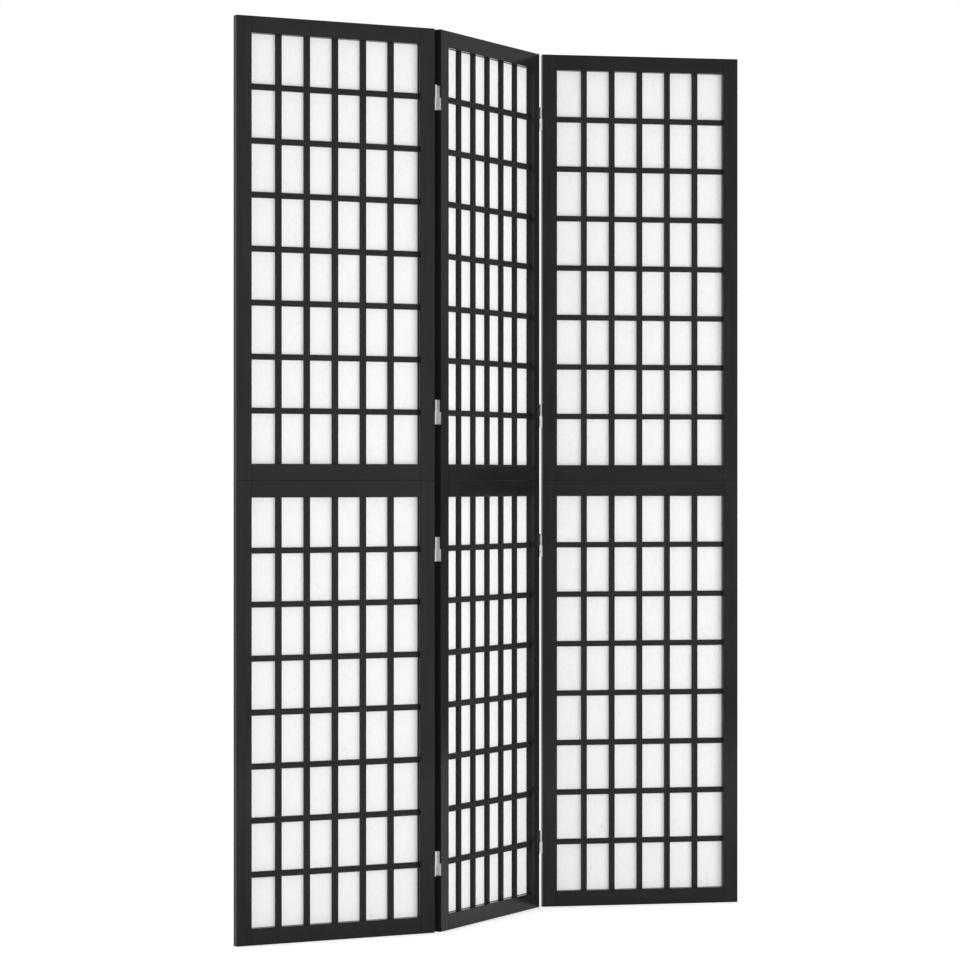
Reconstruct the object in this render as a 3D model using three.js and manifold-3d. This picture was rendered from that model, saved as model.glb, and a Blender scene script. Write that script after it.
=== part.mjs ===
// A three-panel shoji folding screen.
//
// Millimetres, +Z up. The front of the screen looks along -Y and X runs from its left end to its right end.
// Each panel is two framed sections, one standing on the other. A section is two stiles, two rails,
// a lattice in a rebate behind the frame's front lip, and a sheet of paper behind the lattice. Double-acting
// hinges, four to a fold, join the panels: a barrel in front, a barrel behind, and a link plate between them.

import * as THREE from 'three';
import { mergeVertices } from 'three/addons/utils/BufferGeometryUtils.js';
import Module from 'manifold-3d';

const wasm = await Module();
wasm.setup();

// ---------------------------------------------------------------------------------------------------------
// Driving dimensions
// ---------------------------------------------------------------------------------------------------------

// Panels
const PANEL_WIDTH = 402;
const SECTION_HEIGHT = 850;
const FRAME_THICKNESS = 16;
const STILE_WIDTH = 30;
const RAIL_HEIGHT = 31;
const EDGE_EASE = 0.8;

// Fit of pieces that touch: the clearance all round
const FIT = 0.3;

// Rebate that the lattice sits in, open to the back
const FRONT_LIP = 6.7;
const REBATE_WIDTH = 8;

// Rail tenons
const TENON_LENGTH = 14;
const TENON_HEIGHT = 15;
const TENON_THICKNESS = 6;
const TENON_EDGE = 5;

// Dowels between the lower and the upper section
const DOWEL_RADIUS = 4;
const DOWEL_LENGTH = 20;
const DOWEL_INSET = 8;

// Lattice and paper
const CELLS_ACROSS = 6;
const CELLS_UP = 8;
const BAR_WIDTH = 10.9;
const BAR_DEPTH = 7.1;
const END_CELL_TRIM = 1.6;
const PAPER_THICKNESS = 0.4;

// Hinges
const HINGE_HEIGHT = 46;
const HINGE_INSET = 129;
const PLATE_THICKNESS = 1.1;
const BARREL_RADIUS = 2.1;
const BARREL_PROUD = 2.2;
const PIN_RADIUS = 1;
const PLATE_MARGIN = 0.2;
const LINK_MARGIN = 0.6;
const PLATE_RELIEF = 2.8;
const SCREW_SPACING = 24;
const SCREW_HEAD_RADIUS = 2.7;
const SCREW_SHANK_RADIUS = 1.5;

// How far each fold is turned from flat, in degrees
const LEFT_FOLD_ANGLE = 34.7;
const RIGHT_FOLD_ANGLE = 50.9;

// ---------------------------------------------------------------------------------------------------------
// Derived dimensions
// ---------------------------------------------------------------------------------------------------------

const PIN_SIDES = 10;
const DOWEL_SIDES = 12;
const SCREW_SIDES = 6;
const THROUGH = 1;

// A barrel's axis lies in the middle of its leaf, and the link plate is tangent to the barrel's far side.
const AXIS_INSET = FIT + PLATE_THICKNESS / 2;
const FOLD_GAP = 2 * (FIT + BARREL_RADIUS);
const BORE_RADIUS = PIN_RADIUS + FIT;
const KNUCKLE_LENGTH = (HINGE_HEIGHT / 2 - 2 * FIT) / 3;

const LATTICE_FRONT = FRONT_LIP + FIT;
const PAPER_FRONT = LATTICE_FRONT + BAR_DEPTH + FIT;
const REBATE_START = RAIL_HEIGHT - REBATE_WIDTH;

// ---------------------------------------------------------------------------------------------------------
// Materials
// ---------------------------------------------------------------------------------------------------------

const frameFinish = new THREE.MeshStandardMaterial({ color: 0x2c2e2d, roughness: 0.5, metalness: 0 });
const latticeFinish = new THREE.MeshStandardMaterial({ color: 0x2a2b2a, roughness: 0.55, metalness: 0 });
const paperFinish = new THREE.MeshStandardMaterial({ color: 0xf4f4f1, roughness: 0.9, metalness: 0 });
const hingeFinish = new THREE.MeshStandardMaterial({ color: 0xbbbcb9, roughness: 0.35, metalness: 1 });

// ---------------------------------------------------------------------------------------------------------
// Solids
// ---------------------------------------------------------------------------------------------------------

function toSolid(geometry) {
  const bare = geometry.clone();
  bare.deleteAttribute('normal');
  bare.deleteAttribute('uv');
  const merged = mergeVertices(bare, 1e-4);
  const mesh = new wasm.Mesh({
    numProp: 3,
    vertProperties: new Float32Array(merged.attributes.position.array),
    triVerts: new Uint32Array(merged.index.array),
  });
  return new wasm.Manifold(mesh);
}

function toGeometry(solid) {
  const mesh = solid.getMesh();
  const geometry = new THREE.BufferGeometry();
  geometry.setAttribute('position', new THREE.BufferAttribute(mesh.vertProperties, 3));
  geometry.setIndex(new THREE.BufferAttribute(mesh.triVerts, 1));
  geometry.computeVertexNormals();
  return geometry;
}

function block([xa, xb], [ya, yb], [za, zb]) {
  const geometry = new THREE.BoxGeometry(Math.abs(xb - xa), Math.abs(yb - ya), Math.abs(zb - za));
  geometry.translate((xa + xb) / 2, (ya + yb) / 2, (za + zb) / 2);
  return toSolid(geometry);
}

function rod(radius, x, y, [za, zb], sides = PIN_SIDES) {
  const geometry = new THREE.CylinderGeometry(radius, radius, Math.abs(zb - za), sides);
  geometry.rotateX(Math.PI / 2);
  geometry.translate(x, y, (za + zb) / 2);
  return toSolid(geometry);
}

// A rectangle with its corners cut by the edge ease.
function easedRectangle(a0, a1, b0, b1) {
  const shape = new THREE.Shape();
  shape.moveTo(a0 + EDGE_EASE, b0);
  shape.lineTo(a1 - EDGE_EASE, b0);
  shape.lineTo(a1, b0 + EDGE_EASE);
  shape.lineTo(a1, b1 - EDGE_EASE);
  shape.lineTo(a1 - EDGE_EASE, b1);
  shape.lineTo(a0 + EDGE_EASE, b1);
  shape.lineTo(a0, b1 - EDGE_EASE);
  shape.lineTo(a0, b0 + EDGE_EASE);
  shape.closePath();
  return shape;
}

// A board of the frame's thickness whose long edges, those along X, are eased.
function levelBoard([x0, x1], [z0, z1]) {
  const profile = easedRectangle(0, FRAME_THICKNESS, z0, z1);
  const geometry = new THREE.ExtrudeGeometry(profile, { depth: x1 - x0, bevelEnabled: false });
  const alongX = new THREE.Matrix4().makeBasis(
    new THREE.Vector3(0, 1, 0),
    new THREE.Vector3(0, 0, 1),
    new THREE.Vector3(1, 0, 0),
  );
  geometry.applyMatrix4(alongX);
  geometry.translate(x0, 0, 0);
  return toSolid(geometry);
}

// A board of the frame's thickness whose long edges, those along Z, and front and back end edges are eased.
function uprightBoard([x0, x1], [z0, z1]) {
  const profile = easedRectangle(x0, x1, 0, FRAME_THICKNESS);
  const geometry = new THREE.ExtrudeGeometry(profile, { depth: z1 - z0, bevelEnabled: false });
  geometry.translate(0, 0, z0);
  return toSolid(geometry).intersect(levelBoard([x0 - THROUGH, x1 + THROUGH], [z0, z1]));
}

// ---------------------------------------------------------------------------------------------------------
// One section of a panel: x from 0 to PANEL_WIDTH, y from 0 in front to FRAME_THICKNESS behind
// ---------------------------------------------------------------------------------------------------------

const tenonDepth = [(FRAME_THICKNESS - TENON_THICKNESS) / 2, (FRAME_THICKNESS + TENON_THICKNESS) / 2];
const tenonLevel = [TENON_EDGE, TENON_EDGE + TENON_HEIGHT];
const wider = ([low, high], by) => [low - by, high + by];
const fromRight = (x) => PANEL_WIDTH - x;
const fromTop = (z) => SECTION_HEIGHT - z;
const asIs = (value) => value;

function stile(side, section) {
  const across = side === 'left' ? asIs : fromRight;
  const inner = across(STILE_WIDTH);
  const span = [across(0), inner].sort((a, b) => a - b);
  let solid = uprightBoard(span, [0, SECTION_HEIGHT]);

  const rebateBack = across(STILE_WIDTH - REBATE_WIDTH);
  const pastInner = across(STILE_WIDTH + THROUGH);
  const rebateHeight = [REBATE_START, fromTop(REBATE_START)];
  solid = solid.subtract(
    block([rebateBack, pastInner], [FRONT_LIP, FRAME_THICKNESS + THROUGH], rebateHeight),
  );

  const mortiseEnd = across(STILE_WIDTH - TENON_LENGTH - FIT);
  for (const level of [asIs, fromTop]) {
    const height = wider(tenonLevel, FIT).map(level);
    solid = solid.subtract(block([mortiseEnd, pastInner], wider(tenonDepth, FIT), height));
  }

  const dowelX = across(DOWEL_INSET);
  const middle = FRAME_THICKNESS / 2;
  if (section === 'lower') {
    const reach = [SECTION_HEIGHT - THROUGH, SECTION_HEIGHT + DOWEL_LENGTH];
    return solid.add(rod(DOWEL_RADIUS, dowelX, middle, reach, DOWEL_SIDES));
  }
  const hole = [-THROUGH, DOWEL_LENGTH + FIT];
  return solid.subtract(rod(DOWEL_RADIUS + FIT, dowelX, middle, hole, DOWEL_SIDES));
}

function rail(edge) {
  const level = edge === 'bottom' ? asIs : fromTop;
  const shoulders = [STILE_WIDTH + FIT, fromRight(STILE_WIDTH + FIT)];
  const height = [level(0), level(RAIL_HEIGHT)].sort((a, b) => a - b);
  let solid = levelBoard(shoulders, height);
  solid = solid.subtract(
    block(
      wider(shoulders, THROUGH),
      [FRONT_LIP, FRAME_THICKNESS + THROUGH],
      [level(REBATE_START), level(RAIL_HEIGHT + THROUGH)],
    ),
  );
  for (const across of [asIs, fromRight]) {
    const reach = [across(STILE_WIDTH - TENON_LENGTH), across(STILE_WIDTH + THROUGH)];
    solid = solid.add(block(reach, tenonDepth, tenonLevel.map(level)));
  }
  return solid;
}

const latticeSpan = [STILE_WIDTH - REBATE_WIDTH + FIT, fromRight(STILE_WIDTH - REBATE_WIDTH + FIT)];
const latticeHeight = [REBATE_START + FIT, fromTop(REBATE_START + FIT)];

// The centres of the bars that part a span into equal cells.
function barCentres([start, end], cells) {
  const centres = [];
  for (let bar = 1; bar < cells; bar += 1) {
    centres.push(start + (bar * (end - start)) / cells);
  }
  return centres;
}

// Upright and level bars in a thin rim that the rebate hides. The cells at the top and bottom are shorter
// than the others by the trim.
function lattice() {
  const depth = [LATTICE_FRONT, LATTICE_FRONT + BAR_DEPTH];
  const openingX = [STILE_WIDTH, fromRight(STILE_WIDTH)];
  const openingZ = [RAIL_HEIGHT, fromTop(RAIL_HEIGHT)];
  let solid = block(latticeSpan, depth, latticeHeight);
  solid = solid.subtract(block(openingX, wider(depth, THROUGH), openingZ));
  for (const x of barCentres(openingX, CELLS_ACROSS)) {
    solid = solid.add(block([x - BAR_WIDTH / 2, x + BAR_WIDTH / 2], depth, latticeHeight));
  }
  for (const z of barCentres(wider(openingZ, END_CELL_TRIM), CELLS_UP)) {
    solid = solid.add(block(latticeSpan, depth, [z - BAR_WIDTH / 2, z + BAR_WIDTH / 2]));
  }
  return solid;
}

function paper() {
  return block(latticeSpan, [PAPER_FRONT, PAPER_FRONT + PAPER_THICKNESS], latticeHeight);
}

// ---------------------------------------------------------------------------------------------------------
// One hinge: x from 0 at the left stile's edge to FOLD_GAP at the right one, z from its own middle
// ---------------------------------------------------------------------------------------------------------

// The left leaf's barrel is in front and above, the right leaf's behind and below: each is the other
// turned about the middle of the gap, so both come from the same code.
function placer(side) {
  const left = side === 'left';
  return {
    x: (x) => (left ? x : FOLD_GAP - x),
    y: (y) => (left ? y : FRAME_THICKNESS - y),
    z: (z) => (left ? z : -z),
  };
}

function placedBlock(at, x, y, z) {
  return block(x.map(at.x), y.map(at.y), z.map(at.z));
}

function placedRod(at, radius, z) {
  return rod(radius, at.x(AXIS_INSET), at.y(-BARREL_PROUD), z.map(at.z));
}

const halfHinge = HINGE_HEIGHT / 2;
const leafX = [FIT, FIT + PLATE_THICKNESS];
const linkX = [(FOLD_GAP - PLATE_THICKNESS) / 2, (FOLD_GAP + PLATE_THICKNESS) / 2];
const lowKnuckle = [0, KNUCKLE_LENGTH];
const middleKnuckle = [KNUCKLE_LENGTH + FIT, 2 * KNUCKLE_LENGTH + FIT];
const highKnuckle = [2 * (KNUCKLE_LENGTH + FIT), halfHinge];
const screwLevels = [-SCREW_SPACING / 2, SCREW_SPACING / 2];

// A countersunk hole that narrows towards the stile.
function screwHole(at, level) {
  const wall = [at.x(FIT - THROUGH), at.x(FIT + PLATE_THICKNESS + THROUGH)];
  const flare = SCREW_HEAD_RADIUS - SCREW_SHANK_RADIUS;
  const atWood = SCREW_SHANK_RADIUS - (flare * THROUGH) / PLATE_THICKNESS;
  const atGap = SCREW_HEAD_RADIUS + (flare * THROUGH) / PLATE_THICKNESS;
  const geometry = new THREE.CylinderGeometry(atGap, atWood, Math.abs(wall[1] - wall[0]), SCREW_SIDES);
  geometry.rotateZ(wall[1] > wall[0] ? -Math.PI / 2 : Math.PI / 2);
  geometry.translate((wall[0] + wall[1]) / 2, FRAME_THICKNESS / 2, level);
  return toSolid(geometry);
}

// A plate on the stile's edge with two knuckles of its barrel, and the pin riveted in them.
function leaf(side) {
  const at = placer(side);
  const nearEdge = PLATE_MARGIN;
  const farEdge = FRAME_THICKNESS - PLATE_MARGIN;
  let solid = placedBlock(at, leafX, [nearEdge, farEdge], [0, halfHinge]);
  solid = solid.add(placedBlock(at, leafX, [nearEdge, FRAME_THICKNESS - PLATE_RELIEF], [-halfHinge, 0]));
  for (const knuckle of [lowKnuckle, highKnuckle]) {
    solid = solid.add(placedBlock(at, leafX, [-BARREL_PROUD, nearEdge + THROUGH], knuckle));
    solid = solid.add(placedRod(at, BARREL_RADIUS, knuckle));
  }
  solid = solid.add(placedRod(at, PIN_RADIUS, wider(middleKnuckle, FIT + THROUGH)));
  for (const level of screwLevels) {
    solid = solid.subtract(screwHole(at, level));
  }
  return solid;
}

// The plate between the leaves, with the middle knuckle of both barrels.
function link() {
  let solid = block(linkX, [LINK_MARGIN, FRAME_THICKNESS - LINK_MARGIN], [-halfHinge, halfHinge]);
  for (const side of ['left', 'right']) {
    const at = placer(side);
    solid = solid.add(placedBlock(at, linkX, [-BARREL_PROUD, LINK_MARGIN + THROUGH], middleKnuckle));
    solid = solid.add(placedRod(at, BARREL_RADIUS, middleKnuckle));
  }
  for (const side of ['left', 'right']) {
    solid = solid.subtract(placedRod(placer(side), BORE_RADIUS, wider(middleKnuckle, THROUGH)));
  }
  for (const level of screwLevels) {
    const geometry = new THREE.CylinderGeometry(
      SCREW_HEAD_RADIUS + FIT,
      SCREW_HEAD_RADIUS + FIT,
      PLATE_THICKNESS + 2 * THROUGH,
      SCREW_SIDES,
    );
    geometry.rotateZ(Math.PI / 2);
    geometry.translate(FOLD_GAP / 2, FRAME_THICKNESS / 2, level);
    solid = solid.subtract(toSolid(geometry));
  }
  return solid;
}

// ---------------------------------------------------------------------------------------------------------
// Assembly
// ---------------------------------------------------------------------------------------------------------

const geometries = {
  bottom_rail: toGeometry(rail('bottom')),
  top_rail: toGeometry(rail('top')),
  lattice: toGeometry(lattice()),
  paper: toGeometry(paper()),
  left_leaf: toGeometry(leaf('left')),
  link: toGeometry(link()),
  right_leaf: toGeometry(leaf('right')),
};
for (const section of ['lower', 'upper']) {
  geometries[`${section}_left_stile`] = toGeometry(stile('left', section));
  geometries[`${section}_right_stile`] = toGeometry(stile('right', section));
}

function piece(name, geometry, material, x = 0, z = 0) {
  const mesh = new THREE.Mesh(geometry, material);
  mesh.name = name;
  mesh.position.set(x, 0, z);
  return mesh;
}

// The two sections of one panel, the upper standing on the lower.
function panel(name) {
  const group = new THREE.Group();
  ['lower', 'upper'].forEach((section, storey) => {
    const z = storey * SECTION_HEIGHT;
    const label = `${name}_${section}`;
    for (const side of ['left', 'right']) {
      const shape = geometries[`${section}_${side}_stile`];
      group.add(piece(`${label}_${side}_stile`, shape, frameFinish, 0, z));
    }
    group.add(piece(`${label}_bottom_rail`, geometries.bottom_rail, frameFinish, 0, z));
    group.add(piece(`${label}_top_rail`, geometries.top_rail, frameFinish, 0, z));
    group.add(piece(`${label}_lattice`, geometries.lattice, latticeFinish, 0, z));
    group.add(piece(`${label}_paper`, geometries.paper, paperFinish, 0, z));
  });
  return group;
}

const hingeLevels = [];
for (const storey of [0, 1]) {
  hingeLevels.push(storey * SECTION_HEIGHT + HINGE_INSET);
  hingeLevels.push((storey + 1) * SECTION_HEIGHT - HINGE_INSET);
}

// Adds one part of each of a fold's hinges to a group; x is where the left stile's edge lies in that group.
function addHingeParts(group, fold, part, x) {
  hingeLevels.forEach((z, index) => {
    const name = `${fold}_hinge_${index + 1}_${part}`;
    group.add(piece(name, geometries[part], hingeFinish, x, z));
  });
}

const middlePanel = panel('middle');
const leftPanel = panel('left');
const rightPanel = panel('right');
addHingeParts(leftPanel, 'left_fold', 'left_leaf', PANEL_WIDTH);
addHingeParts(leftPanel, 'left_fold', 'link', PANEL_WIDTH);
addHingeParts(middlePanel, 'left_fold', 'right_leaf', -FOLD_GAP);
addHingeParts(middlePanel, 'right_fold', 'left_leaf', PANEL_WIDTH);
addHingeParts(rightPanel, 'right_fold', 'link', -FOLD_GAP);
addHingeParts(rightPanel, 'right_fold', 'right_leaf', -FOLD_GAP);

// Turns a panel about a hinge axis; flatX is where its left edge lies when the fold is flat.
function turned(moving, flatX, axisX, axisY, degrees) {
  const pivot = new THREE.Group();
  pivot.position.set(axisX, axisY, 0);
  pivot.rotation.z = THREE.MathUtils.degToRad(-degrees);
  moving.position.set(flatX - axisX, -axisY, 0);
  pivot.add(moving);
  return pivot;
}

const folded = new THREE.Group();
folded.add(middlePanel);
folded.add(
  turned(leftPanel, -FOLD_GAP - PANEL_WIDTH, -AXIS_INSET, FRAME_THICKNESS + BARREL_PROUD, LEFT_FOLD_ANGLE),
);
folded.add(
  turned(rightPanel, PANEL_WIDTH + FOLD_GAP, PANEL_WIDTH + AXIS_INSET, -BARREL_PROUD, RIGHT_FOLD_ANGLE),
);

// The line from the screen's left end to its right end is laid along X.
const screen = new THREE.Group();
screen.add(folded);
screen.updateMatrixWorld(true);
const leftEnd = leftPanel.localToWorld(new THREE.Vector3(0, FRAME_THICKNESS / 2, 0));
const rightEnd = rightPanel.localToWorld(new THREE.Vector3(PANEL_WIDTH, FRAME_THICKNESS / 2, 0));
folded.rotation.z = -Math.atan2(rightEnd.y - leftEnd.y, rightEnd.x - leftEnd.x);

// The origin is on the floor, under the middle of the screen's bounding box.
screen.updateMatrixWorld(true);
const bounds = new THREE.Box3().setFromObject(screen, true);
const centre = bounds.getCenter(new THREE.Vector3());
folded.position.set(-centre.x, -centre.y, 0);

export default screen;
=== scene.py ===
"""The looks of a three-panel shoji folding screen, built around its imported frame.

Metres, +Z up. The boards, bars and paper of a section are made in the section's own coordinates:
x across it, y into it from its front face, z up from its underside. A hinge's parts are made in the
hinge's: x across the gap from the panel on its left, y as in the panels, z up from the hinge's
middle. Each is then placed where the frame's solids are.
"""

import math
import random

import bmesh
import bpy
from mathutils import Matrix, Vector

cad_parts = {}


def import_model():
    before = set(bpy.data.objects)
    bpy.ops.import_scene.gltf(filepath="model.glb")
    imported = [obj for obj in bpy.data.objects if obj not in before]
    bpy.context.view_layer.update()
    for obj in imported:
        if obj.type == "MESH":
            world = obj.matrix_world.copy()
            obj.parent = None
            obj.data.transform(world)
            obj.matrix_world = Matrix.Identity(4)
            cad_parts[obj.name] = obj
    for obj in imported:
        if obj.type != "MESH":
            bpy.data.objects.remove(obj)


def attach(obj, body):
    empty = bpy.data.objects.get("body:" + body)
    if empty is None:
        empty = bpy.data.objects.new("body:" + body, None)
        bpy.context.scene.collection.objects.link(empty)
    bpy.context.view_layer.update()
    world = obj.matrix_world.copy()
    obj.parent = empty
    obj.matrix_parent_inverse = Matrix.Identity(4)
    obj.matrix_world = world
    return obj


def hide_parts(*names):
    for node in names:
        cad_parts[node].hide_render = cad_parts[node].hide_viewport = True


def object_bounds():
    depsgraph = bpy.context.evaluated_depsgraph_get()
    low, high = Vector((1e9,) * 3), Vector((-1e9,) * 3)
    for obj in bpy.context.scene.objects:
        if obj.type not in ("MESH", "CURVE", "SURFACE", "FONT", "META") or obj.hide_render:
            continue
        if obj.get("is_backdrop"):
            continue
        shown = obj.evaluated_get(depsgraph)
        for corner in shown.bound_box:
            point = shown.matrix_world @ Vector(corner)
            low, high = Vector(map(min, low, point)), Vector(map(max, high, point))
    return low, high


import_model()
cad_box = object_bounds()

MM = 0.001
X, Y, Z = range(3)

# --- Sizes of the real pieces, as the frame's solids have them -----------------------------------
PANEL_WIDTH = 402 * MM
SECTION_HEIGHT = 850 * MM
FRAME_THICKNESS = 16 * MM
STILE_WIDTH = 30 * MM
RAIL_HEIGHT = 31 * MM
FIT = 0.3 * MM

FRONT_LIP = 6.7 * MM
REBATE_WIDTH = 8 * MM

TENON_LENGTH = 14 * MM
TENON_HEIGHT = 15 * MM
TENON_THICKNESS = 6 * MM
TENON_EDGE = 5 * MM

DOWEL_RADIUS = 4 * MM
DOWEL_LENGTH = 20 * MM
DOWEL_INSET = 8 * MM

CELLS_ACROSS = 6
CELLS_UP = 8
BAR_WIDTH = 10.9 * MM
BAR_DEPTH = 7.1 * MM
END_CELL_TRIM = 1.6 * MM

HINGE_HEIGHT = 46 * MM
HINGE_INSET = 129 * MM
PLATE_THICKNESS = 1.1 * MM
PLATE_MARGIN = 0.2 * MM
PLATE_RELIEF = 2.8 * MM
LINK_MARGIN = 0.6 * MM
BARREL_RADIUS = 2.1 * MM
BARREL_PROUD = 2.2 * MM
PIN_RADIUS = 1 * MM
SCREW_SPACING = 24 * MM
SCREW_HEAD_RADIUS = 2.7 * MM
SCREW_SHANK_RADIUS = 1.5 * MM

MIDDLE_DEPTH = FRAME_THICKNESS / 2
REBATE_START = RAIL_HEIGHT - REBATE_WIDTH
LATTICE_FRONT = FRONT_LIP + FIT
LATTICE_BACK = LATTICE_FRONT + BAR_DEPTH
FOLD_GAP = 2 * (FIT + BARREL_RADIUS)
AXIS_INSET = FIT + PLATE_THICKNESS / 2
BORE_RADIUS = PIN_RADIUS + FIT
KNUCKLE_LENGTH = (HINGE_HEIGHT / 2 - 2 * FIT) / 3

# --- Fine detail that the solids leave out -------------------------------------------------------
EDGE_EASE = 0.8 * MM
BAR_EASE = 0.5 * MM
PLATE_EASE = 0.12 * MM
JOINT_GAP = 0.08 * MM
LET_IN = 0.2 * MM
PAPER_GAP = 0.12 * MM
PAPER_SWELL = 0.35 * MM
SCREW_CLEARANCE = 0.06 * MM
RECESS_REACH = 1.5 * MM
RECESS_HALF_WIDTH = 0.32 * MM
RECESS_DEPTH = 0.7 * MM

# --- How finely it is drawn ----------------------------------------------------------------------
ROUND_SIDES = 32
PIN_SIDES = 24
SHARP_ANGLE = 35
BEVEL_ANGLE = 50
WELD_DISTANCE = 1e-6
PAPER_STEPS_ACROSS = 8
PAPER_STEPS_UP = 12

# How far a cut goes past the face that it opens, or a join into the piece that it is joined to.
BEYOND = 1 * MM

# --- Where the panels stand: the turn from the X axis, and the middle of the underside -----------
PANEL_PLACES = {
    "left": (-5.98716, -0.375282, -0.075646),
    "middle": (28.71284, 0.011544, 0.001148),
    "right": (-22.18716, 0.387101, 0.021224),
}

# --- Camera --------------------------------------------------------------------------------------
CAMERA_PLACE = (-3.3716, -5.2203, 0.8512)
CAMERA_AZIMUTH = 32.7955
CAMERA_LENS = 120.31
SENSOR_WIDTH = 36
CAMERA_REACH = 100

# --- Surroundings --------------------------------------------------------------------------------
WORLD_LIGHT = 0.52
FLOOR_LIFT = 0.54
FLOOR_SHINE = 0.3
FLOOR_SIZE = (400, 400)
FLOOR_DROP = 0.5 * MM

# Name, place, turn in degrees, size, the axis of its own that its strength changes along, and the
# strength at two distances along it. The left card is even.
CARDS = (
    ("card_front", (0, -8, 4), (90, 0, 0), (14, 14), X, ((-0.8, 0.72), (2.0, 1.12))),
    ("card_right", (4, -2, 2), (90, 0, 90), (12, 9), Y, ((-1.25, 0.14), (0.0, 0.62))),
    ("card_left", (-4, -0.5, 2), (90, 0, 90), (6, 9), X, ((-3.0, 0.4), (3.0, 0.4))),
)

# Name, place, the point that it faces, size, and power in watts.
LAMPS = (
    ("key", (0.7, -3.1, 0.6), (0, 0, 0.75), (3.0, 1.6), 68),
    ("rim", (-1.4, 3.4, 2.6), (0, 0, 0.85), (3, 3), 24),
)


# --- Materials -----------------------------------------------------------------------------------
EVEN = (1, 1, 1)


def colour(r, g, b):
    return (r, g, b, 1.0)


class Nodes:
    """A short way to write a node tree."""

    # The greatest shift of a texture from one piece to the next, in metres.
    SHIFT = 7.3

    def __init__(self, tree):
        self.tree = tree
        tree.nodes.clear()

    def fill(self, socket, value):
        if isinstance(value, bpy.types.NodeSocket):
            self.tree.links.new(value, socket)
        else:
            socket.default_value = value

    def add(self, kind, inputs=None, **settings):
        node = self.tree.nodes.new(kind)
        for name, value in settings.items():
            setattr(node, name, value)
        for name, value in (inputs or {}).items():
            self.fill(node.inputs[name], value)
        return node

    def math(self, operation, a, b=0.0, clamp=False):
        node = self.add("ShaderNodeMath", {0: a, 1: b}, operation=operation, use_clamp=clamp)
        return node.outputs[0]

    def weighted(self, a, share_of_a, b, share_of_b):
        """The sum of two values, each times its share."""
        a = self.math("MULTIPLY", a, share_of_a)
        return self.math("ADD", a, self.math("MULTIPLY", b, share_of_b))

    def span(self, value, low, high, start=0.0, end=1.0, shape="LINEAR"):
        """value, from start to end, brought to the range from low to high."""
        node = self.add(
            "ShaderNodeMapRange",
            {"Value": value, "From Min": start, "From Max": end, "To Min": low, "To Max": high},
            interpolation_type=shape,
        )
        return node.outputs[0]

    def noise(self, vector, scale, detail=3.0, roughness=0.5, distortion=0.0):
        node = self.add(
            "ShaderNodeTexNoise",
            {"Vector": vector, "Scale": scale, "Detail": detail, "Roughness": roughness,
             "Distortion": distortion},
        )
        return node.outputs["Fac"]

    def mix(self, factor, a, b):
        """The colour between a and b; the node's colour sockets are the inputs 6 and 7."""
        node = self.add("ShaderNodeMix", data_type="RGBA")
        for index, value in ((0, factor), (6, a), (7, b)):
            self.fill(node.inputs[index], value)
        return node.outputs[2]

    def bump(self, height, strength, distance, normal=None):
        inputs = {"Height": height, "Strength": strength, "Distance": distance}
        if normal is not None:
            inputs["Normal"] = normal
        return self.add("ShaderNodeBump", inputs).outputs[0]

    def object_place(self):
        return self.add("ShaderNodeTexCoord").outputs["Object"]

    def coordinates(self, stretch):
        """The piece's own coordinates, stretched, and shifted by its own random amount."""
        own = self.add("ShaderNodeObjectInfo").outputs["Random"]
        shift = self.math("MULTIPLY", own, self.SHIFT)
        moved = self.add(
            "ShaderNodeVectorMath", {0: self.object_place(), 1: shift}, operation="ADD")
        return self.add(
            "ShaderNodeVectorMath", {0: moved.outputs[0], 1: stretch}, operation="MULTIPLY",
        ).outputs[0]

    def finish(self, shader, output="ShaderNodeOutputMaterial"):
        self.add(output, {"Surface": shader.outputs[0]})


def new_material(name):
    """A material, and its node tree to fill."""
    material = bpy.data.materials.new(name)
    material.use_nodes = True
    return material, Nodes(material.node_tree)


def lacquer(name, grain, roughness):
    """Satin black lacquer over close-grained wood; grain is the way that its fibres run."""
    material, n = new_material(name)
    # Along the grain the fibres are drawn out to about 29 times their width.
    fibres_at = n.coordinates([1.0 - 0.965 * g for g in grain])
    plain_at = n.coordinates(EVEN)
    fibres = n.noise(fibres_at, scale=900, detail=4, roughness=0.62)
    bands = n.noise(fibres_at, scale=130, detail=2, distortion=0.6)
    clouds = n.noise(plain_at, scale=9, detail=2)
    peel = n.noise(plain_at, scale=420, detail=1)

    tone = n.span(n.weighted(bands, 0.55, clouds, 0.45), -0.15, 1.15)
    dark = colour(0.0080, 0.0101, 0.0096)
    light = colour(0.0192, 0.0219, 0.0211)
    unevenness = n.weighted(clouds, 0.07, fibres, 0.07)
    normal = n.bump(peel, strength=0.05, distance=0.0004)
    normal = n.bump(fibres, strength=0.16, distance=0.00025, normal=normal)
    n.finish(n.add(
        "ShaderNodeBsdfPrincipled",
        {"Base Color": n.mix(tone, dark, light),
         "Roughness": n.math("ADD", unevenness, roughness, clamp=True),
         "Normal": normal, "Specular IOR Level": 0.15},
    ))
    return material


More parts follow.
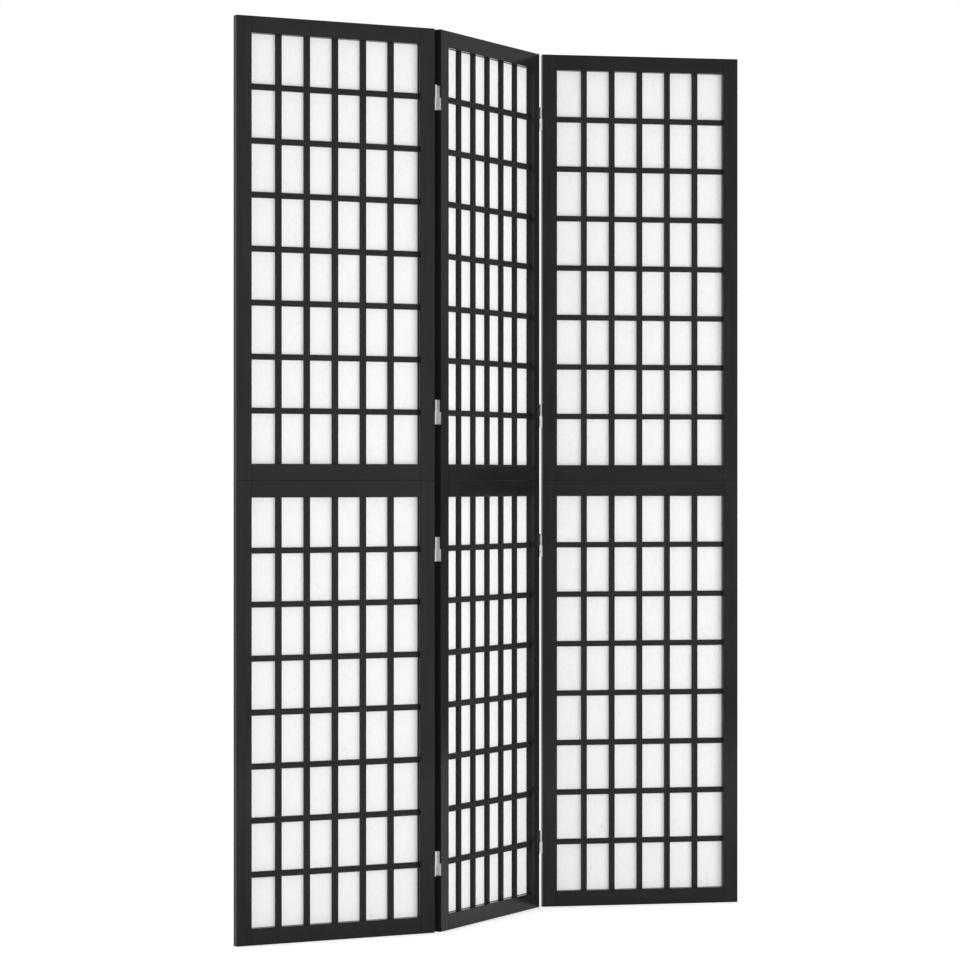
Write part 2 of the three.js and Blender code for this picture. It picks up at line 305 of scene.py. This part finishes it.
def shoji_paper():
    """White washi: long fibres, stray strands and soft clouds, lit from both sides."""
    material, n = new_material("shoji_paper")
    long_fibres = n.noise(
        n.coordinates((1, 1, 0.12)), scale=420, detail=3, roughness=0.6, distortion=1.6)
    cross_fibres = n.noise(
        n.coordinates((0.16, 1, 1)), scale=360, detail=3, roughness=0.6, distortion=2.0)
    fibres = n.math("MAXIMUM", long_fibres, cross_fibres)
    clouds = n.noise(n.coordinates(EVEN), scale=34, detail=4, roughness=0.55, distortion=0.4)
    body = n.weighted(fibres, 0.5, clouds, 0.5)

    # A strand follows each line where this noise has its middle value.
    curls = n.noise(
        n.coordinates((1, 1, 0.35)), scale=60, detail=1.5, roughness=0.6, distortion=1.4)
    off_line = n.math("ABSOLUTE", n.math("SUBTRACT", curls, 0.5))
    strands = n.span(off_line, 1.0, 0.0, end=0.014)
    strand_share = n.math("MULTIPLY", strands, 0.5)

    tone = n.span(body, -0.2, 1.2)
    face = n.mix(tone, colour(0.922, 0.943, 0.942), colour(0.957, 0.974, 0.973))
    face = n.mix(strand_share, face, colour(0.86, 0.875, 0.865))
    through = n.mix(tone, colour(0.86, 0.88, 0.875), colour(0.965, 0.982, 0.978))
    through = n.mix(strand_share, through, colour(0.70, 0.71, 0.70))
    relief = n.weighted(fibres, 1.0, strands, 0.35)
    normal = n.bump(relief, strength=0.14, distance=0.0003)
    surface = n.add(
        "ShaderNodeBsdfPrincipled",
        {"Base Color": face, "Roughness": n.span(body, 0.72, 0.9), "Normal": normal,
         "Specular IOR Level": 0.2},
    )
    lit_through = n.add("ShaderNodeBsdfTranslucent", {"Color": through, "Normal": normal})
    n.finish(n.add(
        "ShaderNodeMixShader", {0: 0.3, 1: surface.outputs[0], 2: lit_through.outputs[0]}))
    return material


def hinge_metal(name, tint, roughness):
    """Satin plated steel, brushed along the hinge's height."""
    material, n = new_material(name)
    brushed = n.noise(n.coordinates((1, 1, 0.05)), scale=1800, detail=2, roughness=0.6)
    stains = n.noise(n.coordinates(EVEN), scale=160, detail=3)
    stained = colour(*[0.93 * t for t in tint])
    unevenness = n.math("MULTIPLY", brushed, 0.12)
    n.finish(n.add(
        "ShaderNodeBsdfPrincipled",
        {"Base Color": n.mix(stains, stained, colour(*tint)), "Metallic": 1.0,
         "Roughness": n.math("ADD", unevenness, roughness, clamp=True),
         "Normal": n.bump(brushed, strength=0.1, distance=0.00002)},
    ))
    return material


# --- Meshes --------------------------------------------------------------------------------------
def as_is(value):
    return value


def from_right(x):
    return PANEL_WIDTH - x


def from_top(z):
    return SECTION_HEIGHT - z


def wider(span, by):
    return (min(span) - by, max(span) + by)


def box_mesh(mesh, x, y, z):
    """Adds a closed box to a bmesh and returns its vertices."""
    made = bmesh.ops.create_cube(mesh, size=1.0)["verts"]
    low, high = (Vector(c) for c in zip(*(sorted(span) for span in (x, y, z))))
    for vertex in made:
        vertex.co = Vector(low[i] + (vertex.co[i] + 0.5) * (high[i] - low[i]) for i in range(3))
    return made


def box(x, y, z):
    mesh = bmesh.new()
    box_mesh(mesh, x, y, z)
    return mesh


def edges_of(vertices):
    return list({edge for vertex in vertices for edge in vertex.link_edges})


def direction(edge):
    """The axis that an edge runs along."""
    run = edge.verts[1].co - edge.verts[0].co
    return max(range(3), key=lambda i: abs(run[i]))


def round_edges(mesh, edges, radius, segments=3):
    bmesh.ops.bevel(
        mesh, geom=edges, offset=radius, segments=segments, profile=0.5, affect="EDGES",
        offset_type="OFFSET", clamp_overlap=True,
    )


def cylinder(mesh, radius, start, end, sides, end_radius=None):
    """Adds a closed cylinder, or a cone's part, between two points."""
    start, end = Vector(start), Vector(end)
    run = end - start
    turn = run.to_track_quat("Z", "Y").to_matrix().to_4x4()
    bmesh.ops.create_cone(
        mesh, cap_ends=True, segments=sides, radius1=radius,
        radius2=radius if end_radius is None else end_radius, depth=run.length,
        matrix=Matrix.Translation((start + end) / 2) @ turn,
    )


def new_object(name, data):
    """An object of the scene that shows the data."""
    item = bpy.data.objects.new(name, data)
    bpy.context.scene.collection.objects.link(item)
    return item


def scratch(mesh, name):
    """A bmesh as an object for a modifier to use."""
    data = bpy.data.meshes.new(name)
    bmesh.ops.recalc_face_normals(mesh, faces=mesh.faces)
    mesh.to_mesh(data)
    mesh.free()
    return new_object(name, data)


def evaluated(item):
    """The object's mesh with its modifiers applied, as a mesh of its own."""
    graph = bpy.context.evaluated_depsgraph_get()
    return bpy.data.meshes.new_from_object(
        item.evaluated_get(graph), preserve_all_data_layers=True, depsgraph=graph)


def solid(name, base, cuts=(), joins=(), bevel=0.0):
    """base with joins added and cuts taken out, as one shaded mesh. Each is a filled bmesh.

    The sharp edges are marked before the normals are weighted, so that flat faces look flat.
    """
    item = scratch(base, name)
    spent = [item]
    for operation, parts in (("UNION", joins), ("DIFFERENCE", cuts)):
        for part in parts:
            other = scratch(part, name + "_part")
            spent.append(other)
            modifier = item.modifiers.new("boolean", "BOOLEAN")
            modifier.operation = operation
            modifier.solver = "EXACT"
            modifier.object = other
    if bevel:
        modifier = item.modifiers.new("bevel", "BEVEL")
        modifier.width = bevel
        modifier.segments = 2
        modifier.limit_method = "ANGLE"
        modifier.angle_limit = math.radians(BEVEL_ANGLE)
    modifier = item.modifiers.new("weld", "WELD")
    modifier.merge_threshold = WELD_DISTANCE

    plain = new_object(name + "_plain", evaluated(item))
    spent.append(plain)
    plain.data.shade_smooth()
    plain.data.set_sharp_from_angle(angle=math.radians(SHARP_ANGLE))
    modifier = plain.modifiers.new("normals", "WEIGHTED_NORMAL")
    modifier.keep_sharp = True
    data = evaluated(plain)
    for other in spent:
        old = other.data
        bpy.data.objects.remove(other)
        bpy.data.meshes.remove(old)
    data.name = name
    return data


def covered(data, *finishes):
    """The mesh, with its materials."""
    for finish in finishes:
        data.materials.append(finish)
    return data


def place(name, data, matrix, body, node=None):
    """Puts a piece on its body, in the place of the node's solid where it is given."""
    item = new_object(name, data)
    item.matrix_world = matrix
    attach(item, body)
    if node:
        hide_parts(node)
    return item


# --- Frame boards --------------------------------------------------------------------------------
TENON_Y = (MIDDLE_DEPTH - TENON_THICKNESS / 2, MIDDLE_DEPTH + TENON_THICKNESS / 2)
TENON_Z = (TENON_EDGE, TENON_EDGE + TENON_HEIGHT)


def rounded_board(x, y, z, run):
    """A board with its long edges rounded. A stile, which runs along Z, has round ends too."""
    mesh = bmesh.new()
    edges = edges_of(box_mesh(mesh, x, y, z))
    if run == X:
        edges = [edge for edge in edges if direction(edge) == X]
    else:
        edges = [edge for edge in edges if direction(edge) != Y]
    round_edges(mesh, edges, EDGE_EASE)
    return mesh


def stile(side, section):
    """A stile with its rebate and mortises, and a dowel on its top or the hole for one below."""
    across = as_is if side == "left" else from_right
    base = rounded_board(
        (across(0), across(STILE_WIDTH)), (0, FRAME_THICKNESS), (0, SECTION_HEIGHT), run=Z)
    past_inner = across(STILE_WIDTH + BEYOND)
    cuts = [box(
        (across(STILE_WIDTH - REBATE_WIDTH), past_inner), (FRONT_LIP, FRAME_THICKNESS + BEYOND),
        (REBATE_START, from_top(REBATE_START)))]
    for level in (as_is, from_top):
        cuts.append(box(
            (across(STILE_WIDTH - TENON_LENGTH - FIT), past_inner), wider(TENON_Y, FIT),
            [level(z) for z in wider(TENON_Z, FIT)]))

    def rod(radius, low, high):
        mesh = bmesh.new()
        x = across(DOWEL_INSET)
        cylinder(mesh, radius, (x, MIDDLE_DEPTH, low), (x, MIDDLE_DEPTH, high), ROUND_SIDES)
        return mesh

    name = f"stile_{side}_{section}"
    if section == "lower":
        dowel = rod(DOWEL_RADIUS, SECTION_HEIGHT - BEYOND, SECTION_HEIGHT + DOWEL_LENGTH)
        return solid(name, base, cuts, [dowel])
    return solid(name, base, [*cuts, rod(DOWEL_RADIUS + FIT, -BEYOND, DOWEL_LENGTH + FIT)])


def rail(edge):
    """A rail with its rebate and tenons, and a hairline between its shoulders and the stiles."""
    level = as_is if edge == "bottom" else from_top
    shoulders = (STILE_WIDTH + JOINT_GAP, from_right(STILE_WIDTH + JOINT_GAP))
    base = rounded_board(shoulders, (0, FRAME_THICKNESS), (level(0), level(RAIL_HEIGHT)), run=X)
    rebate = box(
        wider(shoulders, BEYOND), (FRONT_LIP, FRAME_THICKNESS + BEYOND),
        (level(REBATE_START), level(RAIL_HEIGHT + BEYOND)))
    tenons = [
        box((across(STILE_WIDTH - TENON_LENGTH), across(STILE_WIDTH + BEYOND)), TENON_Y,
            [level(z) for z in TENON_Z])
        for across in (as_is, from_right)]
    return solid(f"rail_{edge}", base, [rebate], tenons)


# --- Lattice -------------------------------------------------------------------------------------
def bar_centres(start, end, cells):
    return [start + k * (end - start) / cells for k in range(1, cells)]


RIM_X = (STILE_WIDTH - REBATE_WIDTH + FIT, from_right(STILE_WIDTH - REBATE_WIDTH + FIT))
RIM_Z = (REBATE_START + FIT, from_top(REBATE_START + FIT))
INSIDE_X = (STILE_WIDTH, from_right(STILE_WIDTH))
INSIDE_Z = (RAIL_HEIGHT, from_top(RAIL_HEIGHT))
UPRIGHT_AT = bar_centres(*INSIDE_X, CELLS_ACROSS)
LEVEL_AT = bar_centres(*wider(INSIDE_Z, END_CELL_TRIM), CELLS_UP)


def bar_spans(rim, inside, centres):
    """Where the bars start and end, with the rim's two at the ends."""
    half = BAR_WIDTH / 2
    bars = [(centre - half, centre + half) for centre in centres]
    return [(rim[0], inside[0]), *bars, (inside[1], rim[1])]


def bar(mesh, x, z, run, finish):
    """A bar with its long edges eased; finish is the index of its material."""
    before = set(mesh.faces)
    edges = edges_of(box_mesh(mesh, x, (LATTICE_FRONT, LATTICE_BACK), z))
    edges = [edge for edge in edges if direction(edge) == run]
    round_edges(mesh, edges, BAR_EASE, segments=2)
    for face in set(mesh.faces) - before:
        face.material_index = finish


def lattice():
    """Uprights run through; the level bars are let in between them."""
    mesh = bmesh.new()
    uprights = bar_spans(RIM_X, INSIDE_X, UPRIGHT_AT)
    for span in uprights:
        bar(mesh, span, RIM_Z, run=Z, finish=0)
    for span in bar_spans(RIM_Z, INSIDE_Z, LEVEL_AT):
        for left, right in zip(uprights, uprights[1:]):
            bar(mesh, (left[1] - LET_IN, right[0] + LET_IN), span, run=X, finish=1)
    return solid("lattice", mesh)


# --- Paper ---------------------------------------------------------------------------------------
COLUMN_MARKS = [INSIDE_X[0], *UPRIGHT_AT, INSIDE_X[1]]
ROW_MARKS = [INSIDE_Z[0], *LEVEL_AT, INSIDE_Z[1]]


def sheet_lines(rim, marks, steps):
    """The sheet's two edges, and even steps from each mark to the next."""
    lines = [rim[0]]
    for a, b in zip(marks, marks[1:]):
        lines += [a + (b - a) * k / steps for k in range(steps)]
    return [*lines, marks[-1], rim[1]]


def cell_share(value, marks):
    """The cell that a coordinate lies in, and how far across it."""
    for k, (a, b) in enumerate(zip(marks, marks[1:])):
        if a <= value <= b:
            return k, (value - a) / (b - a)
    return None, 0.0


def cell_draws(draw):
    """A random number from -1 to 1 for each cell."""
    return [[draw.uniform(-1, 1) for _ in range(CELLS_ACROSS)] for _ in range(CELLS_UP)]


def paper(seed):
    """One sheet glued behind the lattice, taut on the bars and a little slack between them."""
    draw = random.Random(seed)
    swells = cell_draws(draw)
    leans = cell_draws(draw)
    xs = sheet_lines(RIM_X, COLUMN_MARKS, PAPER_STEPS_ACROSS)
    zs = sheet_lines(RIM_Z, ROW_MARKS, PAPER_STEPS_UP)

    vertices = []
    for z in zs:
        row, up = cell_share(z, ROW_MARKS)
        for x in xs:
            column, over = cell_share(x, COLUMN_MARKS)
            out = 0.0
            if row is not None and column is not None:
                crown = (math.sin(math.pi * over) * math.sin(math.pi * up)) ** 2
                ripple = 1 + 0.5 * leans[row][column] * math.sin(2 * math.pi * up + 3 * over)
                out = swells[row][column] * PAPER_SWELL * crown * ripple
            vertices.append((x, LATTICE_BACK + PAPER_GAP + out, z))
    wide = len(xs)
    corners = [j * wide + i for j in range(len(zs) - 1) for i in range(wide - 1)]
    faces = [(k, k + 1, k + wide + 1, k + wide) for k in corners]
    data = bpy.data.meshes.new("paper")
    data.from_pydata(vertices, [], faces)
    data.shade_smooth()
    return data


# --- Hinges --------------------------------------------------------------------------------------
HALF_HINGE = HINGE_HEIGHT / 2
LEAF_X = (FIT, FIT + PLATE_THICKNESS)
LINK_X = ((FOLD_GAP - PLATE_THICKNESS) / 2, (FOLD_GAP + PLATE_THICKNESS) / 2)
LOW_KNUCKLE = (0, KNUCKLE_LENGTH)
MIDDLE_KNUCKLE = (KNUCKLE_LENGTH + FIT, 2 * KNUCKLE_LENGTH + FIT)
HIGH_KNUCKLE = (2 * (KNUCKLE_LENGTH + FIT), HALF_HINGE)
SCREW_LEVELS = (-SCREW_SPACING / 2, SCREW_SPACING / 2)

# How far the cone of a countersink goes on past the leaf's back and its face.
PAST_BACK = 0.2 * MM
PAST_FACE = 0.4 * MM


class HingeSide:
    """The right leaf is the left one turned about the middle of the gap."""

    def __init__(self, side):
        self.left = side == "left"

    def point(self, x, y, z):
        return (x, y, z) if self.left else (FOLD_GAP - x, FRAME_THICKNESS - y, -z)

    def box(self, x, y, z):
        low, high = zip(x, y, z)
        return box(*zip(self.point(*low), self.point(*high)))

    def rod(self, radius, z, sides):
        """A rod on the side's axis."""
        mesh = bmesh.new()
        ends = [self.point(AXIS_INSET, -BARREL_PROUD, level) for level in z]
        cylinder(mesh, radius, *ends, sides)
        return mesh

    def screw_rod(self, mesh, x, level, radius, end_radius=None):
        """Adds a rod or a cone on a screw's axis."""
        ends = [self.point(at, MIDDLE_DEPTH, level) for at in x]
        cylinder(mesh, radius, *ends, ROUND_SIDES, end_radius)


def countersink(at, level):
    mesh = bmesh.new()
    flare = (SCREW_HEAD_RADIUS - SCREW_SHANK_RADIUS) / PLATE_THICKNESS
    at.screw_rod(
        mesh, (LEAF_X[0] - PAST_BACK, LEAF_X[1] + PAST_FACE), level,
        SCREW_SHANK_RADIUS - flare * PAST_BACK, SCREW_HEAD_RADIUS + flare * PAST_FACE)
    return mesh


def leaf(side):
    """A leaf with its two knuckles and its pin; it is relieved beside the other side's knuckles."""
    at = HingeSide(side)
    base = at.box(LEAF_X, (PLATE_MARGIN, FRAME_THICKNESS - PLATE_MARGIN), (0, HALF_HINGE))
    relieved = (PLATE_MARGIN, FRAME_THICKNESS - PLATE_RELIEF)
    joins = [at.box(LEAF_X, relieved, (-HALF_HINGE, BEYOND))]
    for knuckle in (LOW_KNUCKLE, HIGH_KNUCKLE):
        joins.append(at.box(LEAF_X, (-BARREL_PROUD, PLATE_MARGIN + BEYOND), knuckle))
        joins.append(at.rod(BARREL_RADIUS, knuckle, ROUND_SIDES))
    joins.append(at.rod(PIN_RADIUS, wider(MIDDLE_KNUCKLE, FIT + BEYOND), PIN_SIDES))
    cuts = [countersink(at, level) for level in SCREW_LEVELS]
    return solid(f"leaf_{side}", base, cuts, joins, bevel=PLATE_EASE)


def link():
    """The plate between the leaves, with a knuckle on each axis and holes over the screws."""
    base = box(
        LINK_X, (LINK_MARGIN, FRAME_THICKNESS - LINK_MARGIN), (-HALF_HINGE, HALF_HINGE))
    joins, cuts = [], []
    for side in ("left", "right"):
        at = HingeSide(side)
        joins.append(at.box(LINK_X, (-BARREL_PROUD, LINK_MARGIN + BEYOND), MIDDLE_KNUCKLE))
        joins.append(at.rod(BARREL_RADIUS, MIDDLE_KNUCKLE, ROUND_SIDES))
        cuts.append(at.rod(BORE_RADIUS, wider(MIDDLE_KNUCKLE, BEYOND), PIN_SIDES))
    for level in SCREW_LEVELS:
        hole = bmesh.new()
        HingeSide("left").screw_rod(hole, wider(LINK_X, BEYOND), level, SCREW_HEAD_RADIUS + FIT)
        cuts.append(hole)
    return solid("link", base, cuts, joins, bevel=PLATE_EASE)


def screws(side):
    """Two countersunk wood screws with a cross recess."""
    at = HingeSide(side)
    base = bmesh.new()
    crosses = []
    for level in SCREW_LEVELS:
        at.screw_rod(
            base, (LEAF_X[0] + SCREW_CLEARANCE, LEAF_X[1] - SCREW_CLEARANCE), level,
            SCREW_SHANK_RADIUS - SCREW_CLEARANCE, SCREW_HEAD_RADIUS - SCREW_CLEARANCE)
        arm = (RECESS_REACH, RECESS_HALF_WIDTH)
        for wide, high in (arm, arm[::-1]):
            crosses.append(at.box(
                (LEAF_X[1] - RECESS_DEPTH, LEAF_X[1] + BEYOND),
                (MIDDLE_DEPTH - wide, MIDDLE_DEPTH + wide), (level - high, level + high)))
    return solid(f"screws_{side}", base, crosses)


# --- Assembly ------------------------------------------------------------------------------------
HINGE_LEVELS = (
    HINGE_INSET, SECTION_HEIGHT - HINGE_INSET,
    SECTION_HEIGHT + HINGE_INSET, 2 * SECTION_HEIGHT - HINGE_INSET)

# Each part's name, the panel whose coordinates place it, its body, and the gap's start in those.
AFTER, BEFORE = PANEL_WIDTH, -FOLD_GAP
HINGE_PARTS = {
    "left_fold": (
        ("left_leaf", "left", "left_panel", AFTER),
        ("link", "left", "left_links", AFTER),
        ("right_leaf", "middle", "middle_panel", BEFORE)),
    "right_fold": (
        ("left_leaf", "middle", "middle_panel", AFTER),
        ("link", "right", "right_links", BEFORE),
        ("right_leaf", "right", "right_panel", BEFORE)),
}


def panel_matrix(name):
    """Takes a panel's own coordinates to the room's."""
    yaw, x, y = PANEL_PLACES[name]
    turn = Matrix.Rotation(math.radians(yaw), 4, "Z")
    middle = Matrix.Translation((-PANEL_WIDTH / 2, -MIDDLE_DEPTH, 0))
    return Matrix.Translation((x, y, 0)) @ turn @ middle


def panels():
    """Boards, bars and paper. Boards and bars that are equal share one mesh."""
    upright_wood = lacquer("black_lacquer_upright", (0, 0, 1), 0.06)
    level_wood = lacquer("black_lacquer_level", (1, 0, 0), 0.06)
    upright_bar_wood = lacquer("black_lacquer_upright_bar", (0, 0, 1), 0.45)
    level_bar_wood = lacquer("black_lacquer_level_bar", (1, 0, 0), 0.45)
    paper_finish = shoji_paper()

    stiles = {
        (side, section): covered(stile(side, section), upright_wood)
        for side in ("left", "right") for section in ("lower", "upper")}
    rails = {edge: covered(rail(edge), level_wood) for edge in ("bottom", "top")}
    lattice_data = covered(lattice(), upright_bar_wood, level_bar_wood)

    for order, name in enumerate(PANEL_PLACES):
        body = f"{name}_panel"
        for storey, section in enumerate(("lower", "upper")):
            at = panel_matrix(name) @ Matrix.Translation((0, 0, storey * SECTION_HEIGHT))
            label = f"{name}_{section}"
            for side in ("left", "right"):
                node = f"{label}_{side}_stile"
                place(f"{node}_board", stiles[side, section], at, body, node)
            for edge in ("bottom", "top"):
                node = f"{label}_{edge}_rail"
                place(f"{node}_board", rails[edge], at, body, node)
            node = f"{label}_lattice"
            bars = place(f"{node}_bars", lattice_data, at, body, node)
            data = covered(paper(seed=10 * order + storey), paper_finish)
            node = f"{label}_paper"
            sheet = place(f"{node}_sheet", data, at, body, node)


def hinges():
    """Plates and screws. All hinges share one mesh for each of their parts."""
    plate_finish = hinge_metal("plated_steel", (0.88, 0.88, 0.87), 0.3)
    screw_finish = hinge_metal("plated_screw", (0.78, 0.78, 0.76), 0.26)
    hinge_data = {
        "left_leaf": covered(leaf("left"), plate_finish),
        "link": covered(link(), plate_finish),
        "right_leaf": covered(leaf("right"), plate_finish)}
    screw_data = {f"{side}_leaf": covered(screws(side), screw_finish) for side in ("left", "right")}

    for fold, parts in HINGE_PARTS.items():
        for number, level in enumerate(HINGE_LEVELS, 1):
            for part, panel, body, x in parts:
                at = panel_matrix(panel) @ Matrix.Translation((x, 0, level))
                node = f"{fold}_hinge_{number}_{part}"
                place(f"{node}_plate", hinge_data[part], at, body, node)
                if part in screw_data:
                    place(f"{node}_screws", screw_data[part], at, body)


# --- Surroundings --------------------------------------------------------------------------------
def world():
    """A white room to the eye and to shiny surfaces, and a plain even light to the rest."""
    scene_world = bpy.data.worlds.new("world")
    bpy.context.scene.world = scene_world
    scene_world.use_nodes = True
    n = Nodes(scene_world.node_tree)
    ray = n.add("ShaderNodeLightPath").outputs
    seen = n.math("MAXIMUM", ray["Is Camera Ray"], ray["Is Glossy Ray"])
    seen = n.math("MAXIMUM", seen, ray["Is Transmission Ray"])
    strength = n.span(seen, WORLD_LIGHT, 1.0)
    light = n.add("ShaderNodeBackground", {"Color": colour(1, 1, 1), "Strength": strength})
    n.finish(light, "ShaderNodeOutputWorld")


def stage_plane(name, material, position, turn, size):
    """A flat piece of the studio, which isn't part of the object."""
    mesh = bmesh.new()
    bmesh.ops.create_grid(mesh, x_segments=2, y_segments=2, size=0.5)
    bmesh.ops.scale(mesh, vec=(size[0], size[1], 1), verts=mesh.verts)
    data = bpy.data.meshes.new(name)
    mesh.to_mesh(data)
    mesh.free()
    item = new_object(name, covered(data, material))
    item.location = position
    item.rotation_euler = [math.radians(angle) for angle in turn]
    item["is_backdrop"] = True
    return item


def floor():
    """A white floor, brighter to the eye and to shiny surfaces, so that its shadow is faint."""
    material, n = new_material("floor")
    ray = n.add("ShaderNodeLightPath").outputs
    shiny = n.math("MAXIMUM", ray["Is Glossy Ray"], ray["Is Transmission Ray"])
    lift = n.weighted(ray["Is Camera Ray"], FLOOR_LIFT, shiny, FLOOR_SHINE)
    grain = n.noise(n.object_place(), scale=3, detail=2)
    tone = n.mix(grain, colour(0.90, 0.90, 0.90), colour(0.92, 0.92, 0.92))
    paint = n.add("ShaderNodeBsdfDiffuse", {"Color": tone})
    glow = n.add("ShaderNodeEmission", {"Strength": lift})
    n.finish(n.add("ShaderNodeAddShader", {0: paint.outputs[0], 1: glow.outputs[0]}))
    stage_plane("floor", material, (0, 0, -FLOOR_DROP), (0, 0, 0), FLOOR_SIZE)


def card(name, position, turn, size, axis, stops):
    """A grey studio wall that only shiny surfaces see."""
    material, n = new_material(name)
    along = n.add("ShaderNodeSeparateXYZ", {0: n.object_place()}).outputs[axis]
    strength = stops[0][1]
    for (start, before), (end, after) in zip(stops, stops[1:]):
        rise = n.span(along, 0.0, after - before, start, end, shape="SMOOTHSTEP")
        strength = n.math("ADD", rise, strength)
    n.finish(n.add("ShaderNodeEmission", {"Strength": strength}))
    item = stage_plane(name, material, position, turn, size)
    item.visible_camera = False
    item.visible_diffuse = False
    item.visible_transmission = False
    item.visible_shadow = False


def lamp(name, position, target, size, power):
    """A soft lamp that lights the scene and isn't seen in shiny surfaces."""
    data = bpy.data.lights.new(name, "AREA")
    data.shape = "RECTANGLE"
    data.size, data.size_y = size
    data.energy = power
    item = new_object(name, data)
    item.location = position
    away = Vector(position) - Vector(target)
    item.rotation_euler = away.to_track_quat("Z", "Y").to_euler()
    item.visible_glossy = False


def camera():
    """A level camera; its azimuth turns it from the Y axis towards the X axis."""
    data = bpy.data.cameras.new("camera")
    data.lens = CAMERA_LENS
    data.sensor_width = SENSOR_WIDTH
    data.clip_end = CAMERA_REACH
    item = new_object("camera", data)
    item.location = CAMERA_PLACE
    item.rotation_euler = (math.radians(90), 0, math.radians(-CAMERA_AZIMUTH))
    bpy.context.scene.camera = item


panels()
hinges()
world()
floor()
for settings in CARDS:
    card(*settings)
for settings in LAMPS:
    lamp(*settings)
camera()
bpy.context.scene.view_settings.view_transform = "Standard"

boxes = {"cad": cad_box, "visual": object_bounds()}
{name: [list(corner) for corner in box] for name, box in boxes.items()}
